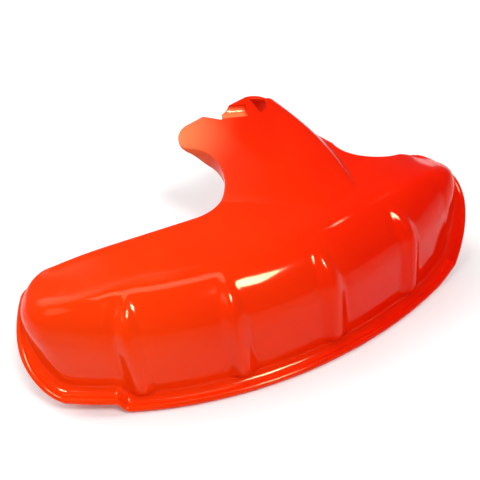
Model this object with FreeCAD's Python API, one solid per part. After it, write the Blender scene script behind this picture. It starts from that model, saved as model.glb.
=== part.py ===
import FreeCAD, Part
import math
import os

# Trimmer blade guard, one moulded shell, in millimetres.
# It is drawn with the lip's lowest line in z = 0, the deck's free edge in y = 0 and the skirt facing -y,
# and is then moved so that the origin lies on the seat's axis, level with the deck's underside.

# Plan outline
LIP_RADIUS = 325.0          # lip's outer edge, about the arc's centre
ARC_SETBACK = 225.5         # arc's centre behind the free edge
CORNER_RADIUS = 36.0        # rounding of the lip at both ends
LEFT_CORNER_X = 140.5       # sideways place of the left corner's centre
RIGHT_CORNER_X = 135.5      # the same for the right corner

# Wall section
DECK_HEIGHT = 85.0          # deck's top above the lip
WALL = 3.0                  # moulded wall
BEAD_RADIUS = 2.6           # round bead along the lip
LIP_FILLET = 6.0            # hollow between skirt and bead
END_FILLET = 4.0            # width of the same hollow at the ends
SKIRT_DRAFT = 3.0           # skirt's lean, degrees
END_THIN = 0.35             # share of the full height below which the wall lies flat on the lip
END_LEAN = 0.4              # further lean where the skirt runs out at the ends
CREST_RADIUS = 26.0         # rounding from deck to skirt
END_CREST_WIDTH = 14.0      # width of the same rounding at the ends
RUN_OUT = 20.0              # wall height below which the fillet flattens too
NARROW_START = 16.0         # rounding grows narrow between these turns, degrees
NARROW_END = 28.0

# Lip heights
STEP_TURN = -22.2           # place of the lip's step, degrees from the middle
STEP_RISE = 9.0             # rise of the lip left of the step
STEP_SPAN = 1.2             # width of the step, degrees
LEFT_CLIMB_TURN = 14.0      # lip begins to climb here at the left, degrees
LEFT_CLIMB_POWER = 1.0      # late climb above 1, early climb below
RIGHT_CLIMB_TURN = 24.0     # the same at the right
RIGHT_CLIMB_POWER = 0.52

# Ribs
RIB_COUNT = 4
RIB_PITCH = 13.1            # degrees from rib to rib
RIB_HEIGHT = 5.0
RIB_HALF_WIDTH = 11.0
RIB_RISE = 0.7              # rise of the rib, in rounding lengths from the deck
RIB_FOOT = 2.85             # ribs end at their foot, in section lengths
RIB_FADE = 0.5
RIB_POINT = 0.35            # share of that width at the rib's pointed start
RIB_CORE = 0.82             # width of the hollow behind a rib, as a share of the rib

# Neck, with its own line: along runs up the roof, across runs to the right
NECK_FOOT_TURN = 15.69      # neck's foot stands on the deck at this turn, degrees from the middle
NECK_FOOT_LAND = 12.0       # deck between the crest's rounding and the foot
NECK_TURN = 16.4            # lean of the neck's line to the left, degrees
NECK_LENGTH = 129.0         # foot to the end wall
ROOF_START = 8.0            # roof's plane leaves the deck here
ROOF_SLOPE = 0.235
ROOF_HALF_FOOT = 12.5       # half width of the roof at the foot
ROOF_FLARE = 0.085          # growth of that half width along the neck
RIGHT_BULGE = 8.0           # swelling of the roof's right edge half way up
LEFT_SLOPE = 0.30           # fall of the left flank
RIGHT_SLOPE = 1.40          # fall of the right flank
LEFT_SOFT = 3.0             # blends, as height differences
RIGHT_SOFT = 8.0
DECK_SOFT = 3.0
NECK_LEFT_TURN = -12.0      # deck's arc passes into the neck between these turns
NECK_RIGHT_TURN = 24.0
FOOT_ROOM = 5.8             # that arc lies this far in front of the neck's foot
BACK_ROOM = 26.2            # neck's skin is drawn this far past the neck's end, then trimmed
BACK_LEFT = -45.0
BACK_RIGHT = 80.0
FLAT_SHARE = 0.35           # share of the neck's sides that lies flat in the deck

# Free edge
SEAT_X = -31.0              # axis of the round seat for the gear housing
SEAT_RADIUS = 33.0
SEAT_WALL_DEPTH = 13.0      # upright wall round the seat, below the roof
SEAT_ARC_END = 62.0         # seat's edge ends here on the lobe, degrees from +x
LOBE_X = -8.5               # centre of the lobe's rounded tip
LOBE_Y = 72.5
LOBE_RADIUS = 8.0
LOBE_BEYOND = 4.0           # right corner of the lobe's back edge, past the neck's end
LOBE_ACROSS = -31.0
NOTCH_DEPTH = 8.5           # notch between lobe and collar, in from the neck's end
NOTCH_ACROSS = -22.7
COLLAR_LEFT = -16.0         # left corner of the collar's end
COLLAR_RIGHT = 8.0          # right end of the collar's straight edge
SHOULDER_DEPTH = 10.5       # far end of the round shoulder beside it, in from the neck's end
SHOULDER_ACROSS = 21.0
SHOULDER_BULGE = 2.2
FLANK_DEPTH = 13.0          # right corner of the neck, in from its end
NECK_RIGHT = 38.0           # right edge of the neck
EDGE_ROUND_X = 128.0        # centre of the right hand rounding of the free edge
BEYOND = 200.0              # outside everything

# Collar at the neck's end
SADDLE_RADIUS = 7.2         # round trough in the roof
SADDLE_TURN = 28.0          # trough's axis against the neck's end, degrees
SADDLE_BACK = 12.6          # right end of the trough's axis, in from the neck's end
SADDLE_RIGHT = -0.6         # the same end, across the neck
SADDLE_LENGTH = 22.0
SADDLE_LIFT = 2.0           # trough's axis above the roof
POCKET_LEFT = (3.6, 9.9)    # opening's corners, in from the neck's end and across it
POCKET_RIGHT = (10.6, 19.0)
POCKET_FRONT = (20.0, 7.0)
POCKET_BULGE = 3.0          # rise of its round right side
END_WALL_DEPTH = 20.0       # upright wall under the neck's end, below the roof
SKIN_BITE = 1.0             # depth below the skin at which inner pieces join the wall

# Spacing of the sections that the skins pass through
END_STEP = 4.0              # degrees, round the ends
PANEL_STEP = 1.4            # degrees, on the plain panels
RIB_STEP = 0.36             # degrees, over the ribs
STEP_STEP = 0.2             # degrees, over the lip's step
RIB_ROOM = 0.15             # degrees between a rib and the border of its zone
ROUND_STEP = 0.125          # share of the crest's rounding and of the lip's hollow
SKIRT_STEP = 0.25           # share of the skirt's height
BEAD_ARC = 0.25             # share of the bead's round in one surface
BEAD_STEP = 0.0625          # share of the bead's round
NECK_FINE = 0.6             # share of the neck's width from which lines lie closer
WIDE_STEP = 0.05            # share of the neck's width, up to there
FINE_STEP = 0.0125          # share of the neck's width, from there
LOW_STEP = 0.03             # share of the neck's length, in the deck
HIGH_STEP = 0.06            # share of the neck's length, up the roof
SLOPE_PROBE = 0.05          # millimetres, over which the neck's slope is taken
SEAM_GAP = 0.01             # millimetres, widest seam that is closed

CORNER_REACH = LIP_RADIUS - CORNER_RADIUS
BEAD_EDGE = BEAD_RADIUS + math.sqrt(BEAD_RADIUS ** 2 - WALL ** 2 / 4)
FULL_DROP = DECK_HEIGHT - BEAD_RADIUS - WALL / 2
DECK_UNDER = DECK_HEIGHT - WALL
LOBE_ALONG = NECK_LENGTH + LOBE_BEYOND
NOTCH_ALONG = NECK_LENGTH - NOTCH_DEPTH
SADDLE_ALONG = NECK_LENGTH - SADDLE_BACK
END_TURN = 180.0


def smooth(t):
    """Even climb from 0 to 1 with level ends."""
    t = min(1.0, max(0.0, t))
    return t * t * (3 - 2 * t)


def soft_max(a, b, reach):
    """Larger of two heights, blended where they differ by less than the reach."""
    near = max(reach - abs(a - b), 0.0)
    return max(a, b) + near ** 3 / (6 * reach ** 2)


def soft_min(a, b, reach):
    """Smaller of two heights, blended likewise."""
    return -soft_max(-a, -b, reach)


def corner_centre(turn):
    """Plan centre of the corner on that side."""
    x = -LEFT_CORNER_X if turn < 0 else RIGHT_CORNER_X
    return x, ARC_SETBACK - math.sqrt(CORNER_REACH ** 2 - x ** 2)


def corner_turn(turn):
    """Turn at which the arc passes into the corner on that side."""
    x, y = corner_centre(turn)
    return math.degrees(math.atan2(abs(x), ARC_SETBACK - y))


def rim(turn):
    """Plan point of the lip's outer edge and the outward direction there."""
    angle = math.radians(turn)
    out = (math.sin(angle), -math.cos(angle))
    if abs(turn) <= corner_turn(turn):
        return LIP_RADIUS * out[0], ARC_SETBACK + LIP_RADIUS * out[1], out
    x, y = corner_centre(turn)
    return x + CORNER_RADIUS * out[0], y + CORNER_RADIUS * out[1], out


def lip_height(turn):
    """Bottom of the bead: stepped at the left, climbing to the deck round both ends."""
    base = STEP_RISE * smooth((STEP_TURN - turn) / STEP_SPAN + 0.5)
    start = LEFT_CLIMB_TURN if turn < 0 else RIGHT_CLIMB_TURN
    power = LEFT_CLIMB_POWER if turn < 0 else RIGHT_CLIMB_POWER
    way = max(0.0, abs(turn) - start) / (END_TURN - start)
    return base + (FULL_DROP - base) * smooth(way ** power)


def wall_line(turn, v):
    """Depth inside the rim and height of the plain skin: v 1 deck, 2 skirt, 3 fillet, 4 bead."""
    drop = FULL_DROP - lip_height(turn)
    share = drop / FULL_DROP
    scale = share * (FULL_DROP + RUN_OUT) / (drop + RUN_OUT)
    draft = math.radians(SKIRT_DRAFT)
    last = math.pi / 2 - draft
    narrow = smooth((abs(turn) - NARROW_START) / (NARROW_END - NARROW_START))
    fillet_z = LIP_FILLET * scale
    fillet_d = LIP_FILLET + (END_FILLET - LIP_FILLET) * narrow
    round_z = CREST_RADIUS * share
    round_d = CREST_RADIUS + (END_CREST_WIDTH - CREST_RADIUS) * narrow
    groove = DECK_HEIGHT - drop
    foot_d = BEAD_EDGE + fillet_d * math.cos(draft)
    foot_z = groove + fillet_z * (1 - math.sin(draft))
    top_z = DECK_HEIGHT - round_z * (1 - math.cos(last))
    top_d = foot_d + (top_z - foot_z) * math.tan(draft) + END_LEAN * (1 - share)
    if v <= 2:
        g = (v - 1) * last
        return top_d + round_d * (math.sin(last) - math.sin(g)), DECK_HEIGHT - round_z * (1 - math.cos(g))
    if v <= 3:
        return top_d + (v - 2) * (foot_d - top_d), top_z + (v - 2) * (foot_z - top_z)
    b = draft + (v - 3) * last
    return BEAD_EDGE + fillet_d * math.cos(b), groove + fillet_z * (1 - math.sin(b))


DECK_EDGE = LIP_RADIUS - wall_line(0, 1)[0]
NECK_FOOT_X = (DECK_EDGE - NECK_FOOT_LAND) * math.sin(math.radians(NECK_FOOT_TURN))
NECK_FOOT_Y = ARC_SETBACK - (DECK_EDGE - NECK_FOOT_LAND) * math.cos(math.radians(NECK_FOOT_TURN))
BACK_LINE = NECK_FOOT_Y + NECK_LENGTH * math.cos(math.radians(NECK_TURN)) + BACK_ROOM


def rib_lift(turn, v, depth, width):
    """Height of the ribs over the plain skin: pointed on the deck, full over the crest, blunt at the foot."""
    along = smooth((v - 1) / RIB_RISE) * (1 - smooth((v - RIB_FOOT) / RIB_FADE))
    half = width * (RIB_POINT + (1 - RIB_POINT) * smooth((v - 1) / RIB_RISE))
    lift = 0.0
    for i in range(RIB_COUNT):
        rib = RIB_PITCH * (i - (RIB_COUNT - 1) / 2)
        across = math.radians(turn - rib) * (LIP_RADIUS - depth) / half
        lift += max(0.0, 1 - across ** 2) ** 2
    return RIB_HEIGHT * along * lift


def section_point(turn, v, width, sink):
    """Point of a skin that follows the plain one at a depth, with ribs of a width."""
    x, y, out = rim(turn)
    depth, z = wall_line(turn, v)
    share = 1 - lip_height(turn) / FULL_DROP
    steep = (90 - SKIRT_DRAFT) * smooth(share / END_THIN)
    angle = math.radians(steep * min(v - 1, 1, 4 - v))
    lift = rib_lift(turn, v, depth, width) - sink
    depth -= lift * math.sin(angle)
    return FreeCAD.Vector(x - depth * out[0], y - depth * out[1], z + lift * math.cos(angle))


def skirt_point(turn, v):
    """Point of the outer skin with its ribs."""
    return section_point(turn, v, RIB_HALF_WIDTH, 0.0)


def inner_point(turn, v):
    """Point of the inner skin, one wall behind the outer one."""
    return section_point(turn, v, RIB_HALF_WIDTH * RIB_CORE, WALL)


def neck_place(along, across):
    """Plan point at a place along and across the neck's line."""
    angle = math.radians(NECK_TURN)
    x = NECK_FOOT_X - along * math.sin(angle) + across * math.cos(angle)
    y = NECK_FOOT_Y + along * math.cos(angle) + across * math.sin(angle)
    return x, y


def neck_height(x, y):
    """Deck and neck as one height: sloping roof, left flank and steep right flank, blended into the deck."""
    angle = math.radians(NECK_TURN)
    dx, dy = x - NECK_FOOT_X, y - NECK_FOOT_Y
    along = dy * math.cos(angle) - dx * math.sin(angle)
    across = dx * math.cos(angle) + dy * math.sin(angle)
    half = ROOF_HALF_FOOT + ROOF_FLARE * along
    roof = DECK_HEIGHT + ROOF_SLOPE * (along - ROOF_START)
    left = roof + LEFT_SLOPE * (across + half)
    swell = RIGHT_BULGE * math.sin(math.pi * min(1.0, max(0.0, along / NECK_LENGTH)))
    right = roof - RIGHT_SLOPE * (across - half - swell)
    hood = soft_min(soft_min(roof, left, LEFT_SOFT), right, RIGHT_SOFT)
    return soft_max(hood, DECK_HEIGHT, DECK_SOFT)


def spread(first, last, step):
    """Evenly spaced values from first to last, about a step apart."""
    count = max(1, int(math.ceil((last - first) / step - 1e-6)))
    return [first + (last - first) * i / count for i in range(count + 1)]


def net_surface(points, us, vs):
    """Smooth surface through a net of points, with the same parameters on every line."""
    rows = []
    for j in range(len(vs)):
        row = Part.BSplineCurve()
        row.interpolate(Points=[line[j] for line in points], Parameters=us)
        rows.append(row)
    lines = []
    for i in range(rows[0].NbPoles):
        line = Part.BSplineCurve()
        line.interpolate(Points=[row.getPole(i + 1) for row in rows], Parameters=vs)
        lines.append(line)
    surface = Part.BSplineSurface()
    surface.buildFromPolesMultsKnots(
        [line.getPoles() for line in lines],
        rows[0].getMultiplicities(), lines[0].getMultiplicities(),
        rows[0].getKnots(), lines[0].getKnots(),
        False, False, rows[0].Degree, lines[0].Degree)
    return surface


def piece(surface, us, vs):
    """Part of a surface between two parameters each way, as its own smaller surface."""
    cut = surface.copy()
    cut.segment(us[0], us[1], vs[0], vs[1])
    return cut


def bridge(edge_a, edge_b):
    """Straight-ruled face between two edges."""
    return Part.makeRuledSurface(edge_a, edge_b)


def face_in(edges):
    """Flat face inside edges given in any order."""
    return Part.Face(Part.Wire(Part.__sortEdges__(edges)))


def skirt_zones():
    """Turns that part the skirt into ends, plain panels and rib zones, each with its section step."""
    half = math.degrees(RIB_HALF_WIDTH / (LIP_RADIUS - CREST_RADIUS)) + RIB_ROOM
    zones = [(-END_TURN, END_STEP), (-corner_turn(-1), PANEL_STEP)]
    for i in range(RIB_COUNT):
        rib = RIB_PITCH * (i - (RIB_COUNT - 1) / 2)
        zones.append((rib - half, RIB_STEP))
        zones.append((rib + half, PANEL_STEP))
    zones.append((corner_turn(1), END_STEP))
    zones.append((STEP_TURN - STEP_SPAN, STEP_STEP))
    zones.append((STEP_TURN + STEP_SPAN, RIB_STEP))
    return sorted(zone for zone in zones if abs(zone[0] - STEP_TURN) > STEP_SPAN - RIB_ROOM)


def rim_turns():
    """Turns of all the skirt's sections."""
    zones = skirt_zones()
    ends = [turn for turn, step in zones[1:]] + [END_TURN]
    turns = []
    for (first, step), last in zip(zones, ends):
        turns += spread(first, last, step)[:-1]
    return turns + [END_TURN]


def rim_ways(turns):
    """Way along the lip up to each of the turns."""
    ways = [0.0]
    for a, b in zip(turns, turns[1:]):
        xa, ya, out = rim(a)
        xb, yb, out = rim(b)
        ways.append(ways[-1] + math.hypot(xb - xa, yb - ya))
    return ways


def bead_point(turn, share):
    """Point of the round bead, by its share of the way from the groove to the inner skin."""
    x, y, out = rim(turn)
    start = math.asin(WALL / 2 / BEAD_RADIUS)
    angle = start + (2 * math.pi - 2 * start) * share
    depth = BEAD_RADIUS + BEAD_RADIUS * math.cos(angle)
    height = lip_height(turn) + BEAD_RADIUS + BEAD_RADIUS * math.sin(angle)
    return FreeCAD.Vector(x - depth * out[0], y - depth * out[1], height)


def neck_plan(s, t):
    """Plan point of the neck's net: s from left to right, t from the deck's arc to the back line."""
    turn = math.radians(NECK_LEFT_TURN + s * (NECK_RIGHT_TURN - NECK_LEFT_TURN))
    reach = DECK_EDGE - NECK_FOOT_LAND + FOOT_ROOM
    front_x = reach * math.sin(turn)
    front_y = ARC_SETBACK - reach * math.cos(turn)
    back_x = BACK_LEFT + s * (BACK_RIGHT - BACK_LEFT)
    return front_x + t * (back_x - front_x), front_y + t * (BACK_LINE - front_y)


def neck_point(s, t, sink):
    """Point of the neck's skin, sunk by a depth square to it."""
    x, y = neck_plan(s, t)
    near = SLOPE_PROBE
    fall_x = (neck_height(x + near, y) - neck_height(x - near, y)) / (2 * near)
    fall_y = (neck_height(x, y + near) - neck_height(x, y - near)) / (2 * near)
    normal = FreeCAD.Vector(-fall_x, -fall_y, 1)
    normal.normalize()
    return FreeCAD.Vector(x, y, neck_height(x, y)) - normal * sink


def neck_nets(sink):
    """The neck's skin as two nets: the lower one has its sides in the flat deck."""
    stations = spread(0, NECK_FINE, WIDE_STEP)[:-1] + spread(NECK_FINE, 1, FINE_STEP)
    nets = []
    for levels in (spread(0, FLAT_SHARE, LOW_STEP), spread(FLAT_SHARE, 1, HIGH_STEP)):
        points = [[neck_point(s, t, sink) for t in levels] for s in stations]
        nets.append(net_surface(points, stations, levels))
    return nets


def deck_face(strip, neck):
    """Flat deck between the border of the skirt's strip and the neck's lower net."""
    edges = [band.vIso(band.bounds()[2]).toShape() for band in strip[0]]
    for side in (0, 1):
        column = [row[-side] for row in strip]
        ends = [band.uIso(band.bounds()[side]).toShape() for band in column]
        last = column[-1]
        corner = last.value(last.bounds()[side], last.bounds()[3])
        edges += ends
        edges.append(Part.makeLine(corner, neck.value(side, FLAT_SHARE)))
        edges.append(neck.uIso(side).toShape())
    edges.append(neck.vIso(0).toShape())
    return face_in(edges)


def strip_of(point_at, bands, turns, ways, cuts):
    """Surfaces of a strip along the rim: one row for each band of the section, cut at the zones."""
    strip = []
    for band in bands:
        net = net_surface([[point_at(t, v) for v in band] for t in turns], ways, band)
        strip.append([piece(net, (a, b), (band[0], band[-1])) for a, b in zip(cuts, cuts[1:])])
    return strip


def wall_solid():
    """Closed wall of skirt, bead, deck and neck, still wider than the free edge."""
    turns = rim_turns()
    ways = rim_ways(turns)
    cuts = [ways[turns.index(turn)] for turn, step in skirt_zones()] + [ways[-1]]
    bands = [spread(1, 2, ROUND_STEP), spread(2, 3, SKIRT_STEP), spread(3, 4, ROUND_STEP)]
    skin = strip_of(skirt_point, bands, turns, ways, cuts)
    lining = strip_of(inner_point, bands, turns, ways, cuts)
    arcs = [spread(start, start + BEAD_ARC, BEAD_STEP) for start in spread(0, 1, BEAD_ARC)[:-1]]
    bead = strip_of(bead_point, arcs, turns, ways, cuts)
    slope, roof = neck_nets(0)
    slope_under, vault = neck_nets(WALL)
    faces = [surface.toShape() for strip in (skin, lining, bead) for row in strip for surface in row]
    faces += [net.toShape() for net in (slope, roof, slope_under, vault)]
    faces.append(deck_face(skin, slope))
    faces.append(deck_face(lining, slope_under))
    faces.append(bridge(roof.vIso(1).toShape(), vault.vIso(1).toShape()))
    for side in (0, 1):
        top = skin[-1][-side]
        under = lining[-1][-side]
        groove = top.value(top.bounds()[side], top.bounds()[3])
        inside = under.value(under.bounds()[side], under.bounds()[3])
        faces.append(bridge(roof.uIso(side).toShape(), vault.uIso(side).toShape()))
        faces.append(bridge(
            Part.makeLine(groove, roof.value(side, FLAT_SHARE)),
            Part.makeLine(inside, vault.value(side, FLAT_SHARE))))
        ends = [row[-side].uIso(row[-side].bounds()[side]).toShape() for row in bead]
        faces.append(face_in(ends + [Part.makeLine(groove, inside)]))
    wall = Part.makeCompound(faces)
    wall.sewShape(SEAM_GAP)
    return Part.Solid(wall.Shells[0])


def plan_arc(x, y, radius, first, last):
    """Plan arc about a centre, from one angle to another in degrees."""
    points = []
    for share in (0, 0.5, 1):
        angle = math.radians(first + share * (last - first))
        points.append(FreeCAD.Vector(x + radius * math.cos(angle), y + radius * math.sin(angle), 0))
    return points


def bulged(first, last, bulge):
    """Three plan points of an arc between places in from the neck's end and across it."""
    length = math.hypot(last[0] - first[0], last[1] - first[1])
    middle_depth = (first[0] + last[0]) / 2 + bulge * (last[1] - first[1]) / length
    middle_across = (first[1] + last[1]) / 2 - bulge * (last[0] - first[0]) / length
    places = [first, (middle_depth, middle_across), last]
    return [FreeCAD.Vector(*neck_place(NECK_LENGTH - depth, across), 0) for depth, across in places]


def free_outline():
    """Upright prism inside the free edge: everything behind it is trimmed away."""
    right = plan_arc(EDGE_ROUND_X, SEAT_RADIUS, SEAT_RADIUS, 270, 180)
    seat = plan_arc(SEAT_X, SEAT_RADIUS, SEAT_RADIUS, SEAT_ARC_END, -90)
    tip = plan_arc(LOBE_X, LOBE_Y, LOBE_RADIUS, 90, 180)
    places = [(NECK_LENGTH, COLLAR_LEFT), (NOTCH_ALONG, NOTCH_ACROSS), (LOBE_ALONG, LOBE_ACROSS)]
    corners = [FreeCAD.Vector(*neck_place(along, across), 0) for along, across in places]
    flank = FreeCAD.Vector(*neck_place(NECK_LENGTH - FLANK_DEPTH, NECK_RIGHT), 0)
    shoulder = bulged((SHOULDER_DEPTH, SHOULDER_ACROSS), (0, COLLAR_RIGHT), SHOULDER_BULGE)
    front = [(-BEYOND, 0), (-BEYOND, -BEYOND), (BEYOND, -BEYOND), (BEYOND, 0)]
    outer = [FreeCAD.Vector(x, y, 0) for x, y in front]
    edges = Part.makePolygon([seat[2]] + outer + [right[0]]).Edges
    edges.append(Part.Arc(*right).toShape())
    edges += Part.makePolygon([right[2], flank, shoulder[0]]).Edges
    edges.append(Part.Arc(*shoulder).toShape())
    edges += Part.makePolygon([shoulder[2]] + corners + [tip[0]]).Edges
    edges.append(Part.Arc(tip[0], tip[1], seat[0]).toShape())
    edges.append(Part.Arc(*seat).toShape())
    face = face_in(edges)
    face.translate(FreeCAD.Vector(0, 0, -BEYOND))
    return face.extrude(FreeCAD.Vector(0, 0, 2 * BEYOND))


def on_neck(shape):
    """Shape drawn with x across, y along and z up, put to the neck's place."""
    shape.rotate(FreeCAD.Vector(0, 0, 0), FreeCAD.Vector(0, 0, 1), NECK_TURN)
    shape.translate(FreeCAD.Vector(NECK_FOOT_X, NECK_FOOT_Y, 0))
    return shape


def below_roof(depth):
    """Body of the space under the neck's roof, its top at a depth under the outer skin."""
    face = neck_nets(0)[1].toShape()
    face.translate(FreeCAD.Vector(0, 0, -depth))
    return face.extrude(FreeCAD.Vector(0, 0, -BEYOND))


def seat_wall():
    """Upright round wall that hangs from the roof round the gear housing's seat, of even depth."""
    axis = FreeCAD.Vector(SEAT_X, SEAT_RADIUS, DECK_UNDER + SKIN_BITE)
    up = FreeCAD.Vector(0, 0, 1)
    wall = Part.makeCylinder(SEAT_RADIUS + WALL, BEYOND, axis, up)
    wall = wall.cut(Part.makeCylinder(SEAT_RADIUS - SKIN_BITE, BEYOND, axis, up))
    return wall.common(below_roof(SKIN_BITE)).cut(below_roof(SEAT_WALL_DEPTH))


def saddle_roll(radius, right):
    """Round body along the trough, from a place past its right end, for the trough and the wall below it."""
    turn = math.radians(SADDLE_TURN)
    line = FreeCAD.Vector(-math.cos(turn), math.sin(turn), ROOF_SLOPE * math.sin(turn))
    height = DECK_HEIGHT + ROOF_SLOPE * (SADDLE_ALONG - ROOF_START) + SADDLE_LIFT
    start = FreeCAD.Vector(SADDLE_RIGHT, SADDLE_ALONG, height) - line * right
    return on_neck(Part.makeCylinder(radius, SADDLE_LENGTH + right, start, line))


def pocket_cut():
    """Upright three-cornered cut beside the trough, with a round right side."""
    side = bulged(POCKET_FRONT, POCKET_RIGHT, POCKET_BULGE)
    back = FreeCAD.Vector(*neck_place(NECK_LENGTH - POCKET_LEFT[0], POCKET_LEFT[1]), 0)
    edges = Part.makePolygon([side[2], back, side[0]]).Edges
    edges.append(Part.Arc(*side).toShape())
    return face_in(edges).extrude(FreeCAD.Vector(0, 0, BEYOND))


def end_wall():
    """Upright wall under the neck's end, from the collar round the shoulder to the flank."""
    places = [(WALL, COLLAR_LEFT), (WALL, COLLAR_RIGHT - WALL / 2),
              (SHOULDER_DEPTH + WALL / 2, SHOULDER_ACROSS - WALL), (FLANK_DEPTH + WALL, NECK_RIGHT),
              (-WALL, NECK_RIGHT), (-WALL, COLLAR_LEFT)]
    corners = [FreeCAD.Vector(*neck_place(NECK_LENGTH - depth, across), 0) for depth, across in places]
    face = Part.Face(Part.makePolygon(corners + corners[:1]))
    face.translate(FreeCAD.Vector(0, 0, DECK_UNDER + SKIN_BITE))
    wall = face.extrude(FreeCAD.Vector(0, 0, BEYOND))
    return wall.common(below_roof(SKIN_BITE)).cut(below_roof(END_WALL_DEPTH))


def blade_guard():
    """The whole guard as one solid."""
    trough = saddle_roll(SADDLE_RADIUS, 0)
    trough_wall = saddle_roll(SADDLE_RADIUS + WALL, WALL).common(below_roof(SKIN_BITE))
    guard = wall_solid().fuse([seat_wall(), trough_wall, end_wall()])
    guard = guard.cut([trough, pocket_cut()])
    guard = guard.common(free_outline())
    return guard.Solids[0]


os.makedirs("parts", exist_ok=True)
guard = blade_guard()
guard.translate(FreeCAD.Vector(-SEAT_X, -SEAT_RADIUS, -DECK_UNDER))
guard.exportStep("parts/blade_guard.step")
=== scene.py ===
"""Looks of a trimmer blade guard: one glossy moulded shell on a pale floor."""

import logging
import math
from collections.abc import Callable
from dataclasses import dataclass, field, replace
from enum import Enum
from functools import partial

import bpy
import numpy as np
from mathutils import Matrix, Vector, geometry

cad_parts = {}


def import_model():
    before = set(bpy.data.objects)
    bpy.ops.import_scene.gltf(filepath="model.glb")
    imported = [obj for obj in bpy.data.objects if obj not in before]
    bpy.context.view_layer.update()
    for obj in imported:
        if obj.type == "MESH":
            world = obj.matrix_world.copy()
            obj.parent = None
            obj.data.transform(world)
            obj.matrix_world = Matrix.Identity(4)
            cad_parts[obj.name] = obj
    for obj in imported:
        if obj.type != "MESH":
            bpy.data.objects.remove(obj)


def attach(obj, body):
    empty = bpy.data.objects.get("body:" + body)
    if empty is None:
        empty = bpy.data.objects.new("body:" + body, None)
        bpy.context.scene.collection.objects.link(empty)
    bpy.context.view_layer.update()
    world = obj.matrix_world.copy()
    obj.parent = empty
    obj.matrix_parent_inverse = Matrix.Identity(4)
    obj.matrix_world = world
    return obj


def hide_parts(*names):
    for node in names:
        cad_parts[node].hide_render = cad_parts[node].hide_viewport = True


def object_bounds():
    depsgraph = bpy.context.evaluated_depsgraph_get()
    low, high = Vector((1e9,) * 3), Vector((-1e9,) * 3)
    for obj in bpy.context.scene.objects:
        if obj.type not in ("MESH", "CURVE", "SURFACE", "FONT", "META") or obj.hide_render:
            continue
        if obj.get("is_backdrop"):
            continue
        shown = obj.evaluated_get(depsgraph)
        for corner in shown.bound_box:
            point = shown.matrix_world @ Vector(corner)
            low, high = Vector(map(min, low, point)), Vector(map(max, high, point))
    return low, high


LOG = logging.getLogger("blade_guard")
MM = 0.001

# A plan place, a span or a size; and a place, a direction or a colour
Pair = tuple[float, float]
Triple = tuple[float, float, float]


def smooth(t: np.ndarray) -> np.ndarray:
    """Even climb from 0 to 1 with level ends, t squared times three minus two t."""
    t = np.clip(t, 0.0, 1.0)
    return t * t * (3 - 2 * t)


def soft_max(a: np.ndarray, b: np.ndarray, reach: float) -> np.ndarray:
    """Larger of two heights, plus a cubic blend where they differ by less than the reach."""
    near = np.maximum(reach - np.abs(a - b), 0.0)
    return np.maximum(a, b) + near**3 / (6 * reach**2)


def soft_min(a: np.ndarray, b: np.ndarray, reach: float) -> np.ndarray:
    """Smaller of two heights, blended likewise."""
    return -soft_max(-a, -b, reach)


def join(*parts: np.ndarray) -> np.ndarray:
    """Parts of a line end to end, with the shared points kept once."""
    return np.concatenate([parts[0]] + [part[1:] for part in parts[1:]])


def plan_arc(x: float, y: float, radius: float, first: float, last: float, count: int) -> np.ndarray:
    """Points on a plan arc about a centre, between two angles in degrees."""
    angle = np.radians(np.linspace(first, last, count))
    return np.stack([x + radius * np.cos(angle), y + radius * np.sin(angle)], axis=1)


def gap_to(spots: np.ndarray, others: np.ndarray, batches: int) -> np.ndarray:
    """Distance from each plan point to the nearest of the others, in batches to spare memory.

    Args:
        spots: plan points to ask about.
        others: plan points to measure to.
        batches: number of parts to work in.

    Returns:
        One distance for each point.
    """
    parts = np.array_split(spots, batches)
    gaps = [np.linalg.norm(part[:, None] - others[None], axis=-1).min(axis=1) for part in parts]
    return np.concatenate(gaps)


def inside_loop(spots: np.ndarray, loop: np.ndarray) -> np.ndarray:
    """Whether plan points lie inside a closed loop: an odd count of the loop's sides lies to their right.

    Args:
        spots: plan points to ask about.
        loop: closed plan line without a repeated last point.

    Returns:
        One answer for each point.
    """
    x, y = spots[:, None, 0], spots[:, None, 1]
    a, b = loop[None], np.roll(loop, -1, axis=0)[None]
    level = (a[..., 1] > y) != (b[..., 1] > y)
    lean = np.where(level, b[..., 1] - a[..., 1], 1.0)
    cross = a[..., 0] + (y - a[..., 1]) / lean * (b[..., 0] - a[..., 0])
    return (level & (x < cross)).sum(axis=1) % 2 == 1


def looking(place: Triple, aim: Triple, spin: float) -> Matrix:
    """Turn of a lamp or camera that looks from a place at an aim, spun about that line by degrees."""
    turn = (Vector(aim) - Vector(place)).to_track_quat("-Z", "Y").to_matrix()
    return turn @ Matrix.Rotation(math.radians(spin), 3, "Z")


class Side(Enum):
    """Which way a grid's faces look."""

    OUT = 1
    IN = -1


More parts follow.
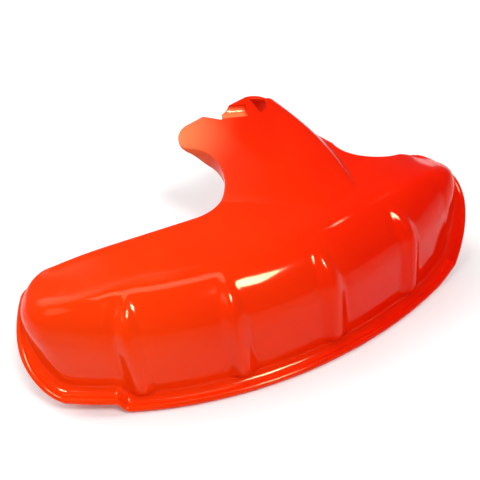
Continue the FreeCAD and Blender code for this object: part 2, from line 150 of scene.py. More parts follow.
@dataclass
class GuardForm:
    """Sizes of the guard in millimetres and degrees, and the formulas of its skins.

    The lip's lowest line lies in z = 0, the deck's free edge in y = 0 and the skirt faces -y.
    """

    # Plan outline: a wide arc that passes into a small corner at each end
    lip_radius: float = 325.0
    arc_setback: float = 225.5
    corner_radius: float = 36.0
    left_corner_x: float = 140.5
    right_corner_x: float = 135.5
    rim_end: float = 180.0  # turn of the rim's last point

    # Section of the wall; a share is the wall's height by its full height
    deck_height: float = 85.0
    wall: float = 3.0
    bead_radius: float = 2.6
    lip_fillet: float = 6.5
    end_fillet: float = 1.6
    fillet_share: float = 0.75  # fillet narrows below this share
    skirt_draft: float = 3.0
    end_thin: float = 0.35  # wall is measured more upright below this share
    end_lean: float = 0.4  # further lean where the skirt runs out
    crest_radius: float = 40.0
    end_crest_width: float = 22.0
    run_out: float = 20.0  # height of wall below which the fillet gets flat
    narrow_start: float = 16.0  # crest narrows between these turns
    narrow_end: float = 28.0

    # Lip: its step, then the turn at which it begins to climb at each end, and the climb's power
    step_turn: float = -22.2
    step_rise: float = 9.0
    step_span: float = 1.2
    left_climb: Pair = (14.0, 1.0)
    right_climb: Pair = (24.0, 0.52)

    # Ribs; start, rise, foot and fade are places down the section
    rib_count: int = 4
    rib_pitch: float = 13.1
    rib_height: float = 5.0
    rib_half_width: float = 11.0
    rib_start: float = 1.2
    rib_rise: float = 0.6
    rib_foot: float = 2.85
    rib_fade: float = 0.5
    rib_point: float = 0.35
    rib_core: float = 0.82

    # Neck, with its own line: along runs up the roof, across runs to the right
    neck_foot: Pair = (74.01, -37.97)
    neck_turn: float = 16.4
    neck_length: float = 129.0
    roof_start: float = 8.0
    roof_slope: float = 0.235
    roof_half_foot: float = 12.5
    roof_flare: float = 0.085
    right_bulge: float = 8.0
    left_slope: float = 0.30
    right_slope: float = 1.40
    left_soft: float = 3.0
    right_soft: float = 8.0
    deck_soft: float = 3.0
    foot_clear: float = 3.0
    foot_fade: float = 9.0

    # Round seat for the gear housing
    seat_x: float = -31.0
    seat_radius: float = 33.0

    # Droop of the outer corners, left and right
    wing_droop: float = 10.0
    wing_starts: Pair = (-95.0, 100.0)
    wing_reaches: Pair = (80.0, 50.0)
    wing_depth: float = 45.0

    @property
    def bead_edge(self) -> float:
        """Depth of the groove between bead and skirt."""
        return self.bead_radius + math.sqrt(self.bead_radius**2 - self.wall**2 / 4)

    @property
    def full_drop(self) -> float:
        """Height from the lip's groove to the deck."""
        return self.deck_height - self.bead_radius - self.wall / 2

    @property
    def deck_under(self) -> float:
        """Height of the deck's underside."""
        return self.deck_height - self.wall

    def corner(self, turn: np.ndarray) -> tuple[np.ndarray, np.ndarray]:
        """Plan centre of the corner on the side of a turn.

        Args:
            turn: place along the rim, degrees.

        Returns:
            The x and y of the centre.
        """
        x = np.where(turn < 0, -self.left_corner_x, self.right_corner_x)
        reach = self.lip_radius - self.corner_radius
        return x, self.arc_setback - np.sqrt(reach**2 - x**2)

    def corner_turn(self, side: int) -> float:
        """Turn at which the arc passes into the corner on that side."""
        x, y = self.corner(np.array(float(side)))
        return float(np.degrees(np.arctan2(abs(x), self.arc_setback - y)))

    def rim(self, turn: np.ndarray, depth: np.ndarray) -> tuple[np.ndarray, np.ndarray]:
        """Plan point at a depth inside the lip's edge: a wide arc that passes into a small one at each end.

        Args:
            turn: direction of the outward normal, degrees from the middle.
            depth: distance inside the edge.

        Returns:
            The x and y of the points.
        """
        angle = np.radians(turn)
        x, y = self.corner(turn)
        limit = np.where(turn < 0, self.corner_turn(-1), self.corner_turn(1))
        on_arc = np.abs(turn) <= limit
        radius = np.where(on_arc, self.lip_radius, self.corner_radius) - depth
        x = np.where(on_arc, 0.0, x)
        y = np.where(on_arc, self.arc_setback, y)
        return x + radius * np.sin(angle), y - radius * np.cos(angle)

    def lip_height(self, turn: np.ndarray) -> np.ndarray:
        """Bottom of the bead: a step at the left, then a smooth climb to the deck round both ends.

        Args:
            turn: place along the rim, degrees.

        Returns:
            Height above the lip's lowest line.
        """
        base = self.step_rise * smooth((self.step_turn - turn) / self.step_span + 0.5)
        start = np.where(turn < 0, self.left_climb[0], self.right_climb[0])
        power = np.where(turn < 0, self.left_climb[1], self.right_climb[1])
        way = np.maximum(0.0, np.abs(turn) - start) / (self.rim_end - start)
        return base + (self.full_drop - base) * smooth(way**power)

    def wall_line(self, turn: np.ndarray, v: np.ndarray) -> tuple[np.ndarray, np.ndarray]:
        """Section of the plain skin: elliptic rounding to v = 2, leaning skirt to 3, elliptic fillet to 4.

        Args:
            turn: place along the rim, degrees.
            v: place down the section, 1 at the deck and 4 at the bead.

        Returns:
            Depth inside the rim, and height.
        """
        drop = self.full_drop - self.lip_height(turn)
        share = drop / self.full_drop
        scale = share * (self.full_drop + self.run_out) / (drop + self.run_out)
        draft = math.radians(self.skirt_draft)
        last = math.pi / 2 - draft
        narrow = smooth((np.abs(turn) - self.narrow_start) / (self.narrow_end - self.narrow_start))
        fillet_z = self.lip_fillet * scale
        fillet_d = self.end_fillet + (self.lip_fillet - self.end_fillet) * smooth(share / self.fillet_share)
        round_z = self.crest_radius * share
        round_d = self.crest_radius + (self.end_crest_width - self.crest_radius) * narrow
        groove = self.deck_height - drop
        foot_d = self.bead_edge + fillet_d * math.cos(draft)
        foot_z = groove + fillet_z * (1 - math.sin(draft))
        top_z = self.deck_height - round_z * (1 - math.cos(last))
        top_d = foot_d + (top_z - foot_z) * math.tan(draft) + self.end_lean * (1 - share)
        bend = np.clip(v - 1, 0, 1) * last
        down = np.clip(v - 2, 0, 1)
        hollow = draft + np.clip(v - 3, 0, 1) * last
        depth = np.where(
            v <= 2,
            top_d + round_d * (math.sin(last) - np.sin(bend)),
            np.where(v <= 3, top_d + down * (foot_d - top_d), self.bead_edge + fillet_d * np.cos(hollow)),
        )
        height = np.where(
            v <= 2,
            self.deck_height - round_z * (1 - np.cos(bend)),
            np.where(v <= 3, top_z + down * (foot_z - top_z), groove + fillet_z * (1 - np.sin(hollow))),
        )
        return depth, height

    def rib_lift(self, turn: np.ndarray, v: np.ndarray, depth: np.ndarray, width: float) -> np.ndarray:
        """Height of the ribs: (1 - across squared) squared, from a point on the crest to a blunt foot.

        Args:
            turn: place along the rim, degrees.
            v: place down the section.
            depth: depth of the plain skin inside the rim.
            width: half width of a rib.

        Returns:
            Height above the plain skin.
        """
        grow = smooth((v - self.rib_start) / self.rib_rise)
        along = grow * (1 - smooth((v - self.rib_foot) / self.rib_fade))
        half = width * (self.rib_point + (1 - self.rib_point) * grow)
        ribs = self.rib_pitch * (np.arange(self.rib_count) - (self.rib_count - 1) / 2)
        across = np.radians(turn[..., None] - ribs) * ((self.lip_radius - depth) / half)[..., None]
        return self.rib_height * along * (np.maximum(0.0, 1 - across**2) ** 2).sum(axis=-1)

    def section(self, turn: np.ndarray, v: np.ndarray, side: Side) -> np.ndarray:
        """Skirt's skin: the plain section pushed out by the ribs, and in by a wall for the lining.

        Args:
            turn: place along the rim, degrees.
            v: place down the section.
            side: outer skin or lining.

        Returns:
            Grid of points.
        """
        inner = side is Side.IN
        depth, z = self.wall_line(turn, v)
        share = 1 - self.lip_height(turn) / self.full_drop
        steep = (90 - self.skirt_draft) * smooth(share / self.end_thin)
        angle = np.radians(steep * np.minimum(np.minimum(v - 1, 1), 4 - v))
        width = self.rib_half_width * (self.rib_core if inner else 1.0)
        lift = self.rib_lift(turn, v, depth, width) - (self.wall if inner else 0.0)
        x, y = self.rim(turn, depth - lift * np.sin(angle))
        return np.stack([x, y, z + lift * np.cos(angle)], axis=-1)

    def bead_angle(self, share: np.ndarray) -> np.ndarray:
        """Angle round the bead's circle, from the groove at share 0 over the outside to the lining at 1."""
        start = math.asin(self.wall / 2 / self.bead_radius)
        return start + (2 * math.pi - 2 * start) * share

    def bead_depth(self, share: np.ndarray) -> np.ndarray:
        """Depth of the bead's circle inside the lip's edge."""
        return self.bead_radius + self.bead_radius * np.cos(self.bead_angle(share))

    def bead(self, turn: np.ndarray, share: np.ndarray) -> np.ndarray:
        """Round bead: a circle's arc carried along the lip.

        Args:
            turn: place along the rim, degrees.
            share: place round the bead, 0 to 1.

        Returns:
            Grid of points.
        """
        x, y = self.rim(turn, self.bead_depth(share))
        z = self.lip_height(turn) + self.bead_radius + self.bead_radius * np.sin(self.bead_angle(share))
        return np.stack([x, y, z], axis=-1)

    def drooped(self, points: np.ndarray) -> np.ndarray:
        """Bends both outer corners down: squared way outwards, times smooth way to the free edge.

        Args:
            points: points of the whole shell.

        Returns:
            The same points, lowered near the two corners.
        """
        x, y, z = points.T
        left = (self.wing_starts[0] - x) / self.wing_reaches[0]
        right = (x - self.wing_starts[1]) / self.wing_reaches[1]
        back = smooth(1 + y / self.wing_depth)
        out = np.clip(np.maximum(left, right), 0, 1)
        return np.stack([x, y, z - self.wing_droop * out**2 * back], axis=1)

    def place(self, along: np.ndarray, across: np.ndarray) -> tuple[np.ndarray, np.ndarray]:
        """Plan point at a place along and across the neck's line.

        Args:
            along: distance from the neck's foot up its line.
            across: distance to the right of that line.

        Returns:
            The x and y of the points.
        """
        angle = math.radians(self.neck_turn)
        x = self.neck_foot[0] - along * math.sin(angle) + across * math.cos(angle)
        y = self.neck_foot[1] + along * math.cos(angle) + across * math.sin(angle)
        return x, y

    def on_neck(self, plan: np.ndarray) -> tuple[np.ndarray, np.ndarray]:
        """Place along and across the neck's line of plan points.

        Args:
            plan: plan points.

        Returns:
            Distances along and across.
        """
        angle = math.radians(self.neck_turn)
        dx = plan[..., 0] - self.neck_foot[0]
        dy = plan[..., 1] - self.neck_foot[1]
        return dy * math.cos(angle) - dx * math.sin(angle), dx * math.cos(angle) + dy * math.sin(angle)

    def roof(self, plan: np.ndarray) -> np.ndarray:
        """Height of deck and neck: roof and two flanks by soft minimum, then the deck by soft maximum.

        Args:
            plan: plan points.

        Returns:
            One height for each point.
        """
        along, across = self.on_neck(plan)
        half = self.roof_half_foot + self.roof_flare * along
        roof = self.deck_height + self.roof_slope * (along - self.roof_start)
        left = roof + self.left_slope * (across + half)
        swell = self.right_bulge * np.sin(math.pi * np.clip(along / self.neck_length, 0, 1))
        right = roof - self.right_slope * (across - half - swell)
        hood = soft_min(soft_min(roof, left, self.left_soft), right, self.right_soft)
        rise = soft_max(hood - self.deck_height, np.zeros_like(hood), self.deck_soft)
        return self.deck_height + rise * smooth((along - self.foot_clear) / self.foot_fade)


@dataclass
class ShellMesh:
    """Grids of one piece, gathered and then welded into one mesh."""

    points: list[np.ndarray] = field(default_factory=list)
    quads: list[np.ndarray] = field(default_factory=list)
    count: int = 0
    weld: float = 0.004  # millimetres
    sharp_angle: float = 38.0  # degrees

    def add(self, grid: np.ndarray, side: Side) -> None:
        """Adds a grid of points as quads that look to a side.

        Args:
            grid: rows by columns by three.
            side: OUT keeps the order row, column; IN turns it round.
        """
        rows, columns = grid.shape[:2]
        index = np.arange(rows * columns).reshape(rows, columns) + self.count
        corners = [index[:-1, :-1], index[:-1, 1:], index[1:, 1:], index[1:, :-1]]
        quads = np.stack(corners, axis=-1).reshape(-1, 4)
        self.points.append(grid.reshape(-1, 3))
        self.quads.append(quads if side is Side.OUT else quads[:, ::-1])
        self.count += rows * columns

    def add_faces(self, points: np.ndarray, faces: np.ndarray, side: Side) -> None:
        """Adds triangles that look to a side.

        Args:
            points: points of the surface.
            faces: three indices each, turning left seen from above.
            side: OUT keeps their order, IN turns it round.
        """
        quads = np.column_stack([faces, faces[:, 2]]) + self.count
        self.points.append(points)
        self.quads.append(quads if side is Side.OUT else quads[:, ::-1])
        self.count += len(points)

    def strip(self, first: np.ndarray, second: np.ndarray) -> None:
        """Adds a ruled strip between two lines of points."""
        self.add(np.stack([first, second]), Side.OUT)

    def to_object(self, name: str, offset: np.ndarray) -> bpy.types.Object:
        """Welds equal points on two grids half a cell apart, drops empty faces and spare points.

        Args:
            name: object's name.
            offset: move in millimetres into the part's frame.

        Returns:
            The new object, at the origin, in metres.
        """
        points = np.concatenate(self.points) + offset
        quads = np.concatenate(self.quads)
        for shift in (0.0, 0.5):
            keys = np.round(points / self.weld + shift).astype(np.int64)
            _, first, back = np.unique(keys, axis=0, return_index=True, return_inverse=True)
            quads = back.reshape(-1)[quads]
            points = points[first]
        used, back = np.unique(quads, return_inverse=True)
        points = points[used]
        quads = back.reshape(quads.shape)
        differs = quads != np.roll(quads, -1, axis=1)
        four = differs.all(axis=1)
        three = differs.sum(axis=1) == 3
        faces = quads[four].tolist() + quads[three][differs[three]].reshape(-1, 3).tolist()
        mesh = bpy.data.meshes.new(name)
        mesh.from_pydata((points * MM).tolist(), [], faces)
        mesh.validate()
        mesh.shade_smooth()
        mesh.set_sharp_from_angle(angle=math.radians(self.sharp_angle))
        piece = bpy.data.objects.new(name, mesh)
        bpy.context.scene.collection.objects.link(piece)
        return piece


@dataclass
class SkirtStrip:
    """Skirt, fillet and bead as grids along the rim, cut off flush with the free edge."""

    form: GuardForm
    arc_step: float = 0.28
    end_count: int = 56
    crest_rows: int = 17
    skirt_rows: int = 11
    fillet_rows: int = 11
    bead_rows: int = 19
    cut_row: int = 20
    cut_left: float = 2.4
    cut_right: float = 3.7
    first_cut: float = 95.0  # least turn at which a row may end
    halvings: int = 40

    @property
    def arc_count(self) -> int:
        """Columns on the wide arc, from corner to corner."""
        span = self.form.corner_turn(1) + self.form.corner_turn(-1)
        return int(span / self.arc_step) + 1

    def rows(self) -> np.ndarray:
        """Places down the section, close enough for smooth reflections."""
        counts = (self.crest_rows, self.skirt_rows, self.fillet_rows)
        return join(*(np.linspace(first, first + 1, count) for first, count in enumerate(counts, 1)))

    def row_warp(self, cut: float) -> np.ndarray:
        """The same rows, moved so that the cut row meets the free edge at the end.

        Args:
            cut: place down the section that the cut row takes.

        Returns:
            One place for each row.
        """
        rows = self.rows()
        at = rows[self.cut_row]
        low = 1 + (rows - 1) * (cut - 1) / (at - 1)
        high = cut + (rows - at) * (4 - cut) / (4 - at)
        return np.where(rows <= at, low, high)

    def end_turn(self, sign: int, count: int, depth_at: Callable[[np.ndarray], np.ndarray]) -> np.ndarray:
        """Turn at which each row comes to y = 0, by halving, or the rim's end where it never does.

        Args:
            sign: -1 for the left end, 1 for the right.
            count: number of rows.
            depth_at: gives the rows' depths at their turns.

        Returns:
            One turn for each row.
        """
        low = np.full(count, self.first_cut)
        high = np.full(count, self.form.rim_end)
        for _ in range(self.halvings):
            middle = (low + high) / 2
            y = self.form.rim(sign * middle, depth_at(sign * middle))[1]
            low = np.where(y < 0, middle, low)
            high = np.where(y < 0, high, middle)
        return sign * high

    def turns_of(self, ends: list[np.ndarray]) -> np.ndarray:
        """Turns of a grid: the same columns on the arc for every row, then each row to its own end.

        Args:
            ends: the rows' last turns at the left and at the right.

        Returns:
            Rows by columns.
        """
        left = -self.form.corner_turn(-1)
        right = self.form.corner_turn(1)
        q = np.linspace(0, 1, self.end_count)
        first = ends[0][:, None] + (left - ends[0][:, None]) * q
        last = right + (ends[1][:, None] - right) * q
        middle = np.broadcast_to(np.linspace(left, right, self.arc_count), (len(ends[0]), self.arc_count))
        return np.concatenate([first[:, :-1], middle, last[:, 1:]], axis=1)

    def warped(self) -> np.ndarray:
        """Places down the section for every column: plain on the arc, warped towards both ends.

        Returns:
            Rows by columns.
        """
        rows = self.rows()[:, None]
        q = smooth(np.linspace(0, 1, self.end_count))
        left = self.row_warp(self.cut_left)[:, None]
        right = self.row_warp(self.cut_right)[:, None]
        first = left + (rows - left) * q
        last = rows + (right - rows) * q
        return np.concatenate([first[:, :-1], np.repeat(rows, self.arc_count, axis=1), last[:, 1:]], axis=1)

    def skin_depth(self, turn: np.ndarray, v: np.ndarray, side: Side) -> np.ndarray:
        """Depth of the skin's own points inside a corner, read back from their plan.

        Args:
            turn: place along the rim, degrees.
            v: place down the section.
            side: outer skin or lining.

        Returns:
            One depth for each point.
        """
        at = self.form.section(turn, v, side)
        x, y = self.form.corner(turn)
        return self.form.corner_radius - np.hypot(at[..., 0] - x, at[..., 1] - y)

    def skin_grid(self, side: Side) -> np.ndarray:
        """Grid of the outer skin or the lining, rows down the section by columns along the rim.

        Args:
            side: outer skin or lining.

        Returns:
            Rows by columns by three.
        """
        ends = []
        for sign, cut in ((-1, self.cut_left), (1, self.cut_right)):
            v = self.row_warp(cut)
            turns = self.end_turn(sign, len(v), partial(self.skin_depth, v=v, side=side))
            turns[: self.cut_row + 1] = sign * self.form.rim_end
            ends.append(turns)
        return self.form.section(self.turns_of(ends), self.warped(), side)

    def bead_grid(self) -> np.ndarray:
        """Grid of the round bead, from the groove to the lining.

        Returns:
            Rows by columns by three.
        """
        share = np.linspace(0, 1, self.bead_rows)
        depth = self.form.bead_depth(share)
        ends = [self.end_turn(sign, self.bead_rows, lambda turn: depth) for sign in (-1, 1)]
        turns = self.turns_of(ends)
        return self.form.bead(turns, np.broadcast_to(share[:, None], turns.shape))

    def build(self, shell: ShellMesh) -> tuple[np.ndarray, np.ndarray]:
        """Adds skin, lining, bead and the cut ends to the shell.

        Args:
            shell: takes the grids.

        Returns:
            The outer and inner grids, whose first rows the deck joins.
        """
        skin = self.skin_grid(Side.OUT)
        lining = self.skin_grid(Side.IN)
        bead = self.bead_grid()
        bead[0] = skin[-1]
        bead[-1] = lining[-1]
        shell.add(skin, Side.IN)
        shell.add(lining, Side.OUT)
        shell.add(bead, Side.IN)
        half = self.bead_rows // 2 + 1
        for column, way in ((0, -1), (-1, 1)):
            ends = [skin[self.cut_row :, column], lining[self.cut_row :, column]]
            caps = [bead[:half, column], bead[::-1, column][:half]]
            shell.strip(*ends[::way])
            shell.strip(*caps[::way])
        return skin, lining


@dataclass
class EdgeRun:
    """One run of the free edge, with the wall that hangs from it and the place where that wall fades out."""

    points: np.ndarray
    wall: float
    depth: float = 0.0
    fade_at: Pair = (0.0, 0.0)
    fade_reach: float = 0.0

    def depths(self) -> np.ndarray:
        """Depth of the hanging wall at each point, growing smoothly with the way from the fading place.

        Returns:
            One depth for each point.
        """
        if self.fade_reach == 0.0:
            return np.full(len(self.points), self.depth)
        away = np.hypot(*(self.points - np.array(self.fade_at)).T)
        return self.depth * smooth(away / self.fade_reach)

    def walls(self) -> np.ndarray:
        """Thickness of the hanging wall at each point."""
        return np.full(len(self.points), self.wall)


@dataclass
class FreeEdge:
    """Plan line of the free edge from the left end to the right one, and the walls that hang from it.

    The part lies to the right of the line. Places on the neck are given in from its end and across it.
    """

    form: GuardForm
    seat_arc_end: float = 62.0
    seat_points: int = 70
    seat_wall_depth: float = 13.0
    lobe_top: Pair = (-8.5, 80.5)
    lobe_bend: Pair = (-14.157, 78.157)
    lobe_nose: Pair = (-16.9, 71.5)
    lobe_corner: Pair = (-4.0, -31.0)
    notch: Pair = (8.5, -22.7)
    collar_left: float = -16.0
    collar_right: float = 8.0
    shoulder: Pair = (10.5, 21.0)
    shoulder_bulge: float = 2.2
    flank: Pair = (13.0, 38.0)
    end_wall_depth: float = 20.0
    end_wall: float = 1.1
    edge_round_x: float = 128.0
    edge_round_points: int = 34
    edge_round: float = 0.6
    step: float = 1.3
    deck_step: float = 5.0
    ramp: float = 3.0
    lobe_ramp: float = 26.0

    def run(self, first: Pair, last: Pair, step: float) -> np.ndarray:
        """Straight run of points about a step apart."""
        count = max(2, int(math.dist(first, last) / step) + 1)
        return np.linspace(first, last, count)

    def arc(self, first: Pair, middle: Pair, last: Pair) -> np.ndarray:
        """Arc through three points: the centre solves two chord equations, the angle runs evenly.

        Args:
            first: start of the arc.
            middle: any point on it.
            last: end of the arc.

        Returns:
            Points about a step apart.
        """
        a, b, c = (np.array(p) for p in (first, middle, last))
        rows = np.array([b - a, c - b])
        centre = np.linalg.solve(rows, np.array([(b @ b - a @ a) / 2, (c @ c - b @ b) / 2]))
        angles = np.unwrap([math.atan2(*(p - centre)[::-1]) for p in (a, b, c)])
        radius = math.dist(a, centre)
        count = int(abs(angles[2] - angles[0]) * radius / self.step) + 2
        angle = np.linspace(angles[0], angles[2], count)
        points = centre + radius * np.stack([np.cos(angle), np.sin(angle)], axis=1)
        points[0], points[-1] = first, last
        return points

    def bulged(self, first: Pair, last: Pair, bulge: float) -> np.ndarray:
        """Arc between two places on the neck, its middle pushed sideways by the bulge.

        Args:
            first: place where the arc starts.
            last: place where it ends.
            bulge: height of the arc.

        Returns:
            Plan points about a step apart.
        """
        a, c = np.array(first), np.array(last)
        way = (c - a) / math.dist(a, c)
        b = (a + c) / 2 + bulge * np.array([way[1], -way[0]])
        return self.arc(*(self.place(p) for p in (a, b, c)))

    def place(self, spot: Pair) -> Pair:
        """Plan point of a place in from the neck's end and across it."""
        return self.form.place(self.form.neck_length - spot[0], spot[1])

    def build(self, left: np.ndarray, right: np.ndarray) -> tuple[np.ndarray, np.ndarray, np.ndarray]:
        """Puts the runs together.

        Args:
            left: plan point where the edge leaves the skirt at the left.
            right: plan point where it comes back to the skirt.

        Returns:
            The line's points, the depth of the wall below the roof at each, and that wall's thickness.
        """
        form = self.form
        radius = form.seat_radius
        seat = plan_arc(form.seat_x, radius, radius, -90, self.seat_arc_end, self.seat_points)
        bend = self.arc(tuple(seat[-1]), self.lobe_bend, self.lobe_top)
        lobe_corner = self.place(self.lobe_corner)
        notch = self.place(self.notch)
        collar_left = self.place((0.0, self.collar_left))
        shoulder = self.bulged(self.shoulder, (0.0, self.collar_right), self.shoulder_bulge)[::-1]
        collar = self.run(collar_left, tuple(shoulder[0]), self.step)
        flank_end = self.place(self.flank)
        flank = self.run(tuple(shoulder[-1]), flank_end, self.step)
        corner = plan_arc(self.edge_round_x, radius, radius, 180, 270, self.edge_round_points)
        plain = partial(EdgeRun, wall=form.wall)
        walled = partial(plain, depth=self.seat_wall_depth, fade_at=self.lobe_nose, fade_reach=self.lobe_ramp)
        closed = partial(EdgeRun, wall=self.end_wall, depth=self.end_wall_depth)
        runs = [
            plain(self.run(tuple(left), (form.seat_x, 0.0), self.deck_step)),
            walled(seat),
            walled(bend),
            plain(self.run(self.lobe_top, lobe_corner, self.step)),
            plain(self.run(lobe_corner, notch, self.step)),
            plain(self.run(notch, collar_left, self.step)),
            closed(collar, fade_at=collar_left, fade_reach=self.ramp),
            closed(shoulder),
            closed(flank, fade_at=flank_end, fade_reach=self.ramp),
            plain(self.run(flank_end, tuple(corner[0]), self.step)),
            plain(corner),
            plain(self.run((self.edge_round_x, 0.0), tuple(right), self.deck_step)),
        ]
        line = join(*(run.points for run in runs))
        return line, join(*(run.depths() for run in runs)), join(*(run.walls() for run in runs))


@dataclass
class Trough:
    """Round trough in the roof at the neck's end."""

    form: GuardForm
    radius: float = 7.2
    turn: float = 28.0
    end: Pair = (12.6, -0.6)
    lift: float = 2.0
    lip: float = 0.25
    length: float = 22.0
    long_points: int = 30
    short_points: int = 18

    @property
    def heading(self) -> Pair:
        """Cosine and sine of the trough's turn."""
        return math.cos(math.radians(self.turn)), math.sin(math.radians(self.turn))

    def growth(self, side: Side) -> float:
        """How much larger the trough is on a side: one wall for the underside."""
        return self.form.wall if side is Side.IN else 0.0

    def on_axis(self, plan: np.ndarray) -> tuple[np.ndarray, np.ndarray]:
        """Place along the trough from its right end, and behind its axis.

        Args:
            plan: plan points.

        Returns:
            Distances along and behind.
        """
        along, across = self.form.on_neck(plan)
        dx = across - self.end[1]
        dy = along - (self.form.neck_length - self.end[0])
        c, s = self.heading
        return dy * s - dx * c, dx * s + dy * c

    def floor(self, plan: np.ndarray, side: Side) -> np.ndarray:
        """Height of the trough: its axis, which climbs with the roof, less the circle's half chord.

        Args:
            plan: plan points.
            side: outer skin or underside.

        Returns:
            One height for each point, without bound outside the trough.
        """
        form = self.form
        grow = self.growth(side)
        p, q = self.on_axis(plan)
        start = form.deck_height + form.roof_slope * (form.neck_length - self.end[0] - form.roof_start)
        axis = start + self.lift + form.roof_slope * self.heading[1] * p
        inside = (self.radius + grow) ** 2 - q**2
        open_here = (inside > 0) & (p > -grow - self.lip / 2) & (p < self.length)
        return np.where(open_here, axis - np.sqrt(np.maximum(inside, 0.0)), np.inf)

    def creases(self, side: Side) -> list[np.ndarray]:
        """Plan lines where the trough meets the roof: the circle's crossings with the roof's slope.

        Args:
            side: outer skin or underside.

        Returns:
            Both long edges, then the foot and the top of the right end.
        """
        form = self.form
        grow = self.growth(side)
        c, s = self.heading
        lift = self.lift + grow * math.hypot(1, form.roof_slope)
        slope = form.roof_slope * c
        root = math.sqrt((lift * slope) ** 2 - (1 + slope**2) * (lift**2 - (self.radius + grow) ** 2))
        edges = [(lift * slope + sign * root) / (1 + slope**2) for sign in (-1, 1)]
        long_way = np.linspace(-grow, self.length, self.long_points)
        short_way = np.linspace(edges[0], edges[1], self.short_points)
        lines = [(long_way, np.full(self.long_points, q)) for q in edges]
        lines += [(np.full(self.short_points, p), short_way) for p in (-grow, -grow - self.lip)]
        plans = []
        for p, q in lines:
            across = self.end[1] - p * c + q * s
            along = form.neck_length - self.end[0] + p * s + q * c
            plans.append(np.stack(form.place(along, across), axis=1))
        return plans


